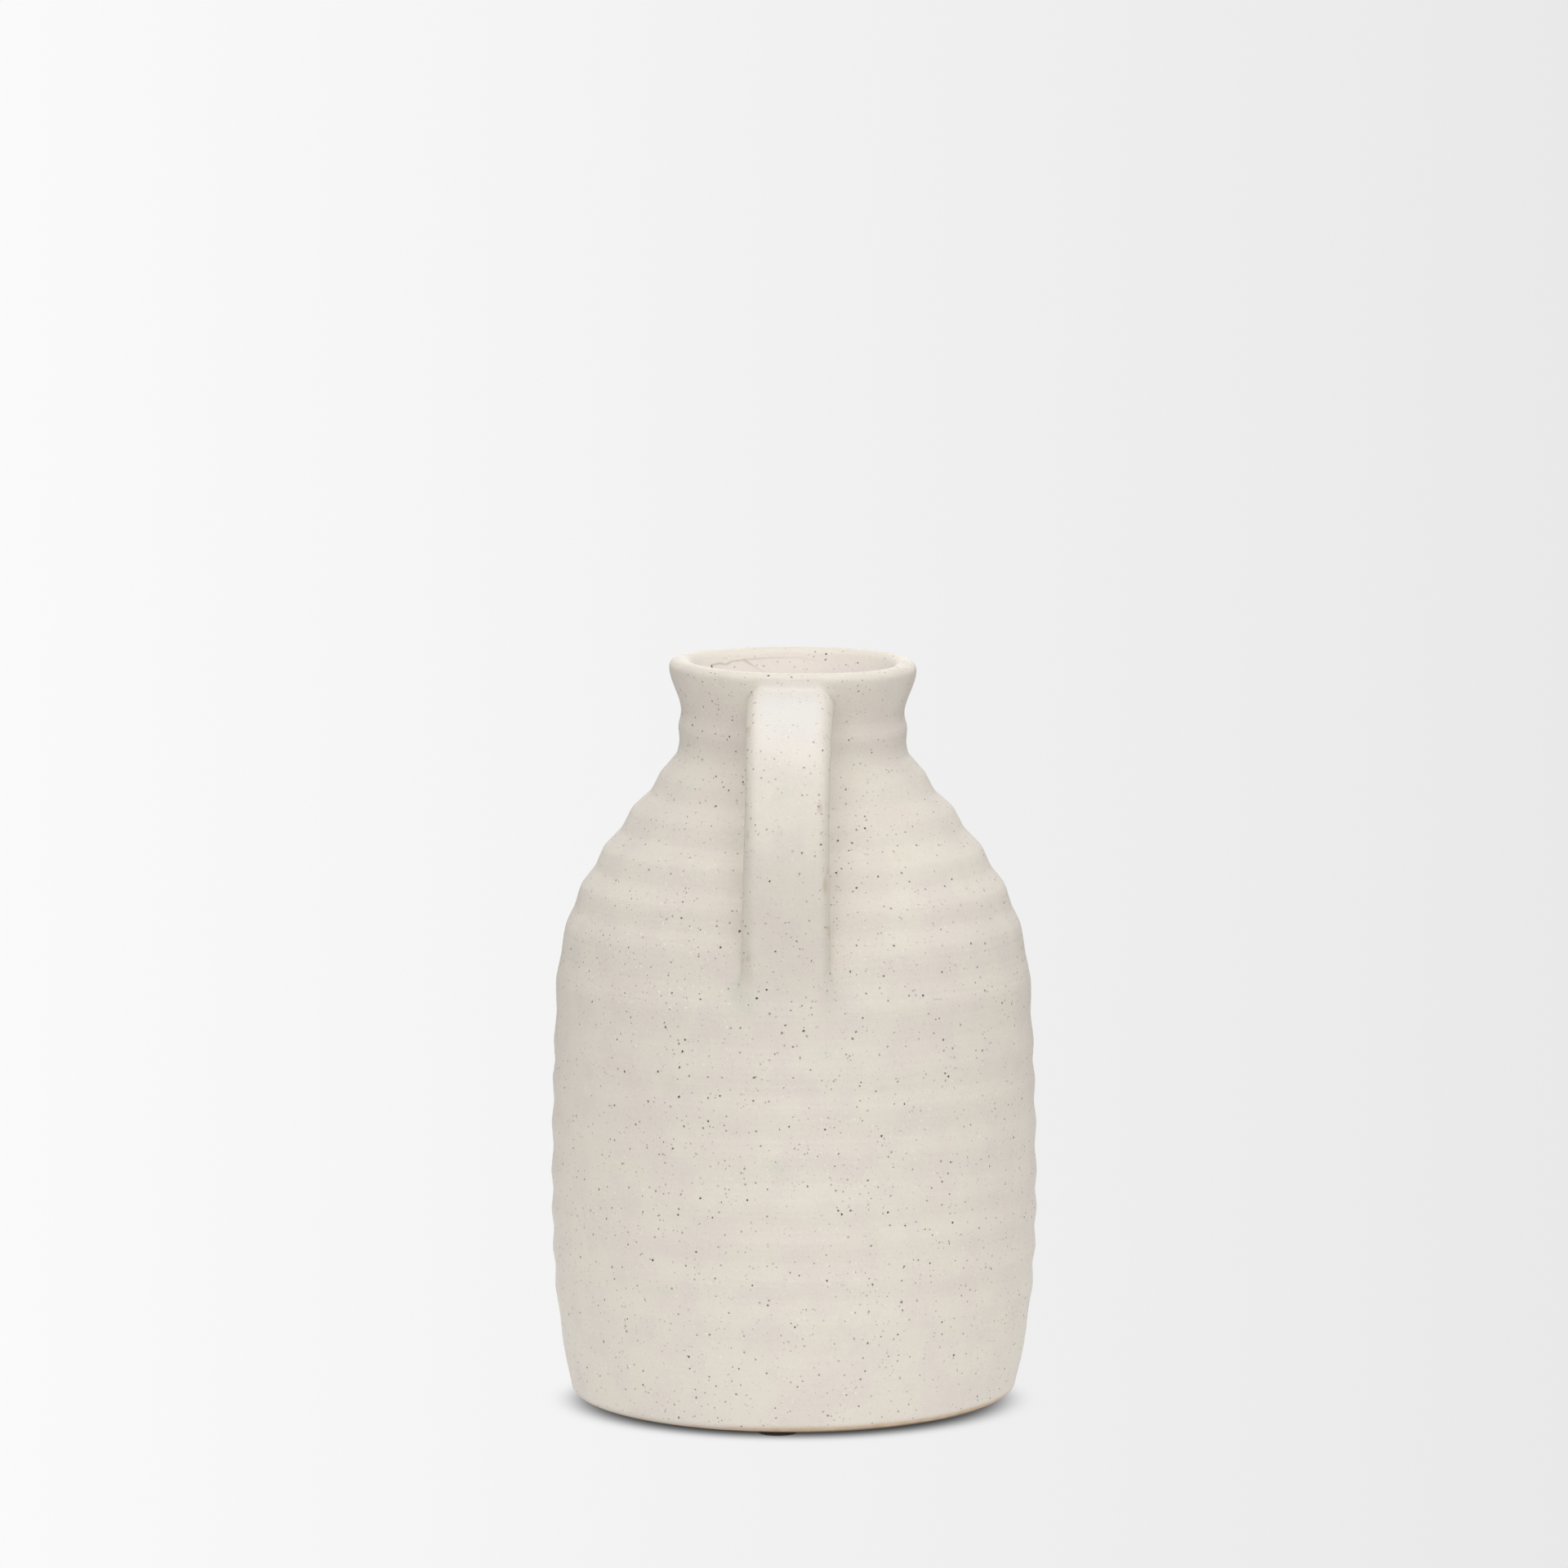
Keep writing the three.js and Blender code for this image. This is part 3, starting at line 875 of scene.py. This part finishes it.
def marked(g, place, elsewhere, glaze, veil):
    """Pale sandy flecks, dust and the fainter iron specks. The veil is low under the painted highlight on the
    strap, which washes them out.
    """
    sandy = g.ramp(g.noise(elsewhere, 34, 2), 0.42, 0.6, 0.25, 0.75)
    crowd = g.ramp(g.noise(place, 8, 1), 0.4, 0.6, 0.3, 1.2)
    follows = {
        "sandy": g.math("ADD", sandy, g.math("MULTIPLY", g.attribute("sandy"), 0.8), clamp=True),
        "crowd": g.math("MULTIPLY", crowd, veil),
        "even": veil,
    }
    for cell, size, share, seed, strengths, colour, also in GLAZE_MARKS:
        within, shade = specks(g, place, cell, size, share, seed)
        within = g.math("MULTIPLY", within, follows[also])
        glaze = g.tint(glaze, within, g.ramp(shade, 0, 1, *strengths), colour)
    return glaze


def foot_clay(g, place, line):
    """Bare toasted clay, with a darker line of painted shade just past the glaze's edge, where the foot's
    corner turns under towards the floor.
    """
    clay = g.mix(g.ramp(g.noise(place, 5, 4), 0.3, 0.7), srgb(216, 195, 170), srgb(206, 182, 154))
    # Painted shade where the foot's corner turns under, close over the floor.
    painted_corner_shade = g.math("MULTIPLY", g.ramp(line, -1.7, -2.7), g.ramp(line, -8, -4))
    clay = g.tint(clay, painted_corner_shade, 0.75, (136, 108, 82))
    clay = g.tint(clay, g.ramp(line, -3, -8), 0.6, (196, 178, 156))
    grains, shade = specks(g, place, *CLAY_GRAINS)
    return g.tint(clay, grains, g.ramp(shade, 0, 1, 0.1, 0.5), (104, 84, 66))


def glaze_relief(g, place, bare, dark, cracked):
    """The fine relief in metres: skin, lumps and pits in the glaze, grit in the clay, specks and cracks."""
    skin = g.math("MULTIPLY", g.noise(place, 1.5, 2), g.ramp(g.attribute("sandy"), 0, 1, 0.035, 0.1))
    lumps = g.math("MULTIPLY", g.noise(place, 6, 2), 0.14)
    pits = g.math("MULTIPLY", specks(g, place, *PITS)[0], -0.05)
    gritty = g.math("MULTIPLY", g.math("MULTIPLY", g.noise(place, 0.6, 3), bare), 0.12)
    standing = g.math("MULTIPLY", dark, 0.04)
    sunk = g.math("ADD", g.math("MULTIPLY", cracked, -0.05), g.math("MULTIPLY", bare, -0.1))
    return g.math("MULTIPLY", g.total(skin, lumps, pits, gritty, standing, sunk), MM)


def glazed_stoneware():
    g = Graph("glazed_stoneware")
    place = g.position()
    elsewhere = g.add("ShaderNodeMapping", Vector=place, Location=(90, 40, 10)).outputs[0]
    glaze = clouded_glaze(g, place, elsewhere)
    glaze = glaze_tints_and_painted_light(g, place, glaze)
    # The specks fade under the painted highlight on the strap's top.
    veil = g.ramp(g.attribute("painted_highlight"), 0, 1, 1.0, 0.25, smooth=False)
    glaze = marked(g, place, elsewhere, glaze, veil)
    dark, shade = specks(g, place, *DARK_SPECKS)
    dark = g.math("MULTIPLY", dark, veil)
    glaze = g.tint(glaze, dark, g.ramp(shade, 0, 1, 0.5, 0.95), (84, 74, 66))
    cracked = g.ramp(g.attribute("crack"), 0.1, 0.9)
    glaze = g.tint(glaze, cracked, 0.55, (176, 160, 142))

    line = g.math("ADD", g.attribute("past_glaze_line"), g.ramp(g.noise(place, 9, 2), 0.2, 0.8, -0.35, 0.35))
    bare = g.ramp(line, 0.3, -1.2)
    glaze = g.tint(glaze, g.ramp(line, 1.5, -1.0), 0.7, (217, 199, 176))
    colour = g.mix(bare, glaze, foot_clay(g, place, line))
    colour = g.tint(colour, dark, 0.8, (62, 52, 44))

    glaze_rough = g.ramp(g.noise(place, 4, 3), 0.3, 0.7, 0.42, 0.54)
    rough = g.ramp(bare, 0, 1, glaze_rough, 0.88)
    height = glaze_relief(g, place, bare, dark, cracked)
    return g.finished(colour, rough, height, Specular_IOR_Level=0.45)


def felt():
    g = Graph("felt")
    place = g.position()
    stretched = g.add("ShaderNodeMapping", Vector=place, Scale=(1.0, 1.0, 2.5)).outputs[0]
    fibres = g.noise(stretched, 0.5, 5, 0.7)
    tufts = g.noise(place, 2.2, 3)
    colour = g.mix(g.ramp(fibres, 0.3, 0.7), srgb(38, 33, 30), srgb(66, 58, 53))
    colour = g.tint(colour, g.ramp(tufts, 0.4, 0.7), 0.4, (84, 76, 70))
    height = g.math("MULTIPLY", g.math("ADD", fibres, tufts), 0.12 * MM)
    return g.finished(colour, 0.95, height, Sheen_Weight=0.4, Specular_IOR_Level=0.15)


def adhesive_film():
    g = Graph("adhesive_film")
    place = g.position()
    smears = g.ramp(g.noise(place, 3.5, 4, 0.6), 0.35, 0.65)
    colour = g.mix(smears, srgb(186, 179, 164), srgb(160, 150, 132))
    colour = g.tint(colour, specks(g, place, *FILM_DUST)[0], 0.6, (92, 82, 70))
    height = g.math("MULTIPLY", g.noise(place, 1.2, 3), 0.06 * MM)
    return g.finished(colour, g.ramp(smears, 0, 1, 0.28, 0.5), height, Transmission_Weight=0.15)


# ------------------------------------------------------------------------------------ floor, light, camera

FLOOR_SIZE = 60.0
SKY = 0.742  # brightness of the room all round
# The light that the floor throws: from one distance off the axis to the next it goes from one strength to
# the next. The second adds to the first under the foot, so that the underside shows from below.
FLOOR_GLOW = (300.0, 1300.0, 0.92, 0.15)
UNDER_GLOW = (73.0, 64.0, 0.0, 12.0)
SOFTBOX_REACH = 1.9  # metres from the middle of the vase to each softbox
# Each softbox: degrees up, degrees round from the front to the right, size in metres, watts.
SOFTBOXES = {
    "front": (15, 0, 1.0, 8.2),
    "top": (88, 0, 1.4, 8.9),
    "right": (27, 65, 1.0, 2.8),
    "back": (20, 180, 1.0, 3.0),
}
NECK_FILL_DEPTH = 39  # how far under the rim the fill light inside the neck stands
NECK_FILL_POWER = 0.03
NECK_FILL_RADIUS = 0.02
LEFT_TONE, MIDDLE_TONE, RIGHT_TONE = srgb(250, 250, 250), srgb(241, 241, 241), srgb(233, 233, 233)
SHADOW_START, SHADOW_REACH = 60.0, 20.25  # the contact shadow fades past the first, in about the second
SHADOW_DEPTH = 0.97  # the share of the floor's tone that it takes
SHADOW_STEEPNESS = 4.0
SHADOW_SHIFT = -0.7  # it lies a little to the left, away from the stronger light
CAMERA_DISTANCE = 15.971 * (body_high.z - body_low.z)  # from the vase's axis, over the floor
CAMERA_HEIGHT = 2.9103 * body_high.z
CAMERA_PITCH = 7.46  # degrees down
CAMERA_SIDEWAYS = -0.00345  # metres along X from the axis, for the vase's place in the picture
CAMERA_LENS = 275.2


def backdrop_tone(graph):
    """Pale grey that falls off gently from the left of the picture to the right: painted fall-off of the
    light over the floor.
    """
    window = graph.add("ShaderNodeTexCoord").outputs["Window"]
    sideways = graph.add("ShaderNodeSeparateXYZ", Vector=window).outputs[0]
    left = graph.mix(graph.ramp(sideways, 0.0, 0.5, smooth=False), LEFT_TONE, MIDDLE_TONE)
    return graph.mix(graph.ramp(sideways, 0.5, 1.0, smooth=False), left, RIGHT_TONE)


def contact_shade(graph, from_axis):
    """How much of its tone the floor keeps: little under the foot, all of it a few centimetres away."""
    beyond = graph.math("MAXIMUM", graph.math("SUBTRACT", from_axis, SHADOW_START), 0.0)
    fade = graph.math("POWER", graph.math("DIVIDE", beyond, SHADOW_REACH), SHADOW_STEEPNESS)
    covered = graph.math("EXPONENT", graph.math("MULTIPLY", fade, -1.0))
    return graph.math("SUBTRACT", 1.0, graph.math("MULTIPLY", covered, SHADOW_DEPTH))


def floor_material():
    """The floor gives its own light and is lit by nothing: an even tone to the camera, a glow to the rest."""
    g = Graph("floor")
    from_axis = g.add("ShaderNodeVectorMath", {"operation": "SUBTRACT"})
    g.put(from_axis.inputs[0], g.position())
    g.put(from_axis.inputs[1], (AXIS[0] + SHADOW_SHIFT, AXIS[1], 0))
    out = g.add("ShaderNodeVectorMath", {"operation": "LENGTH"}, Vector=from_axis.outputs[0]).outputs["Value"]
    tone = g.mix(1.0, backdrop_tone(g), contact_shade(g, out), "MULTIPLY")
    glow = g.math("ADD", g.ramp(out, *FLOOR_GLOW), g.ramp(out, *UNDER_GLOW))
    to_camera = g.add("ShaderNodeLightPath").outputs["Is Camera Ray"]
    light = g.add("ShaderNodeEmission", Color=tone, Strength=g.ramp(to_camera, 0, 1, glow, 1.0))
    from_below = g.add("ShaderNodeNewGeometry").outputs["Backfacing"]
    seen = g.add("ShaderNodeMixShader", Fac=from_below)
    g.put(seen.inputs[1], light.outputs[0])
    g.put(seen.inputs[2], g.add("ShaderNodeBsdfTransparent").outputs[0])
    g.add("ShaderNodeOutputMaterial", Surface=seen.outputs[0])
    return g.material


def build_floor():
    half = FLOOR_SIZE / 2
    corners = [(-half, -half, 0), (half, -half, 0), (half, half, 0), (-half, half, 0)]
    mesh = bpy.data.meshes.new("floor")
    mesh.from_pydata(corners, [], [(0, 1, 2, 3)])
    mesh.materials.append(floor_material())
    floor = bpy.data.objects.new("floor", mesh)
    bpy.context.scene.collection.objects.link(floor)


def build_sky():
    world = bpy.data.worlds.new("studio")
    bpy.context.scene.world = world
    world.use_nodes = True
    sky = world.node_tree.nodes["Background"]
    sky.inputs["Color"].default_value = (1.0, 1.0, 1.0, 1.0)
    sky.inputs["Strength"].default_value = SKY


def add_light(name, kind, place, power):
    data = bpy.data.lights.new(name, kind)
    data.energy = power
    light = bpy.data.objects.new(name, data)
    bpy.context.scene.collection.objects.link(light)
    light.location = place
    light.visible_camera = False
    return light


def build_lights():
    middle = Vector((0, AXIS[1], RIM_Z / 2)) * MM
    for name, (up, round_right, size, power) in SOFTBOXES.items():
        up, round_right = math.radians(up), math.radians(round_right)
        level = Vector((math.sin(round_right), -math.cos(round_right), 0)) * math.cos(up)
        away = level + Vector((0, 0, math.sin(up)))
        light = add_light(name, "AREA", middle + away * SOFTBOX_REACH, power)
        light.data.size = size
        light.rotation_euler = (-away).to_track_quat("-Z", "Y").to_euler()
    in_neck = Vector((0, AXIS[1], RIM_Z - NECK_FILL_DEPTH)) * MM
    fill = add_light("neck_fill", "POINT", in_neck, NECK_FILL_POWER)
    fill.data.shadow_soft_size = NECK_FILL_RADIUS


def build_camera():
    data = bpy.data.cameras.new("camera")
    data.lens = CAMERA_LENS
    data.sensor_width = 36
    data.clip_start, data.clip_end = 0.1, 200
    camera = bpy.data.objects.new("camera", data)
    bpy.context.scene.collection.objects.link(camera)
    camera.location = (AXIS[0] * MM + CAMERA_SIDEWAYS, AXIS[1] * MM - CAMERA_DISTANCE, CAMERA_HEIGHT)
    camera.rotation_euler = (math.radians(90 - CAMERA_PITCH), 0, 0)
    bpy.context.scene.camera = camera


stoneware_look = glazed_stoneware()
build_body(stoneware_look)
build_strap(stoneware_look)
felt_look = felt()
film_look = adhesive_film()
for place in ("front", "right", "back", "left"):
    build_felt(f"felt_pad_{place}", felt_look)
    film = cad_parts[f"pad_adhesive_{place}"]
    film.data.materials.clear()
    film.data.materials.append(film_look)

build_floor()
build_sky()
build_lights()
build_camera()
bpy.context.scene.view_settings.view_transform = "Standard"
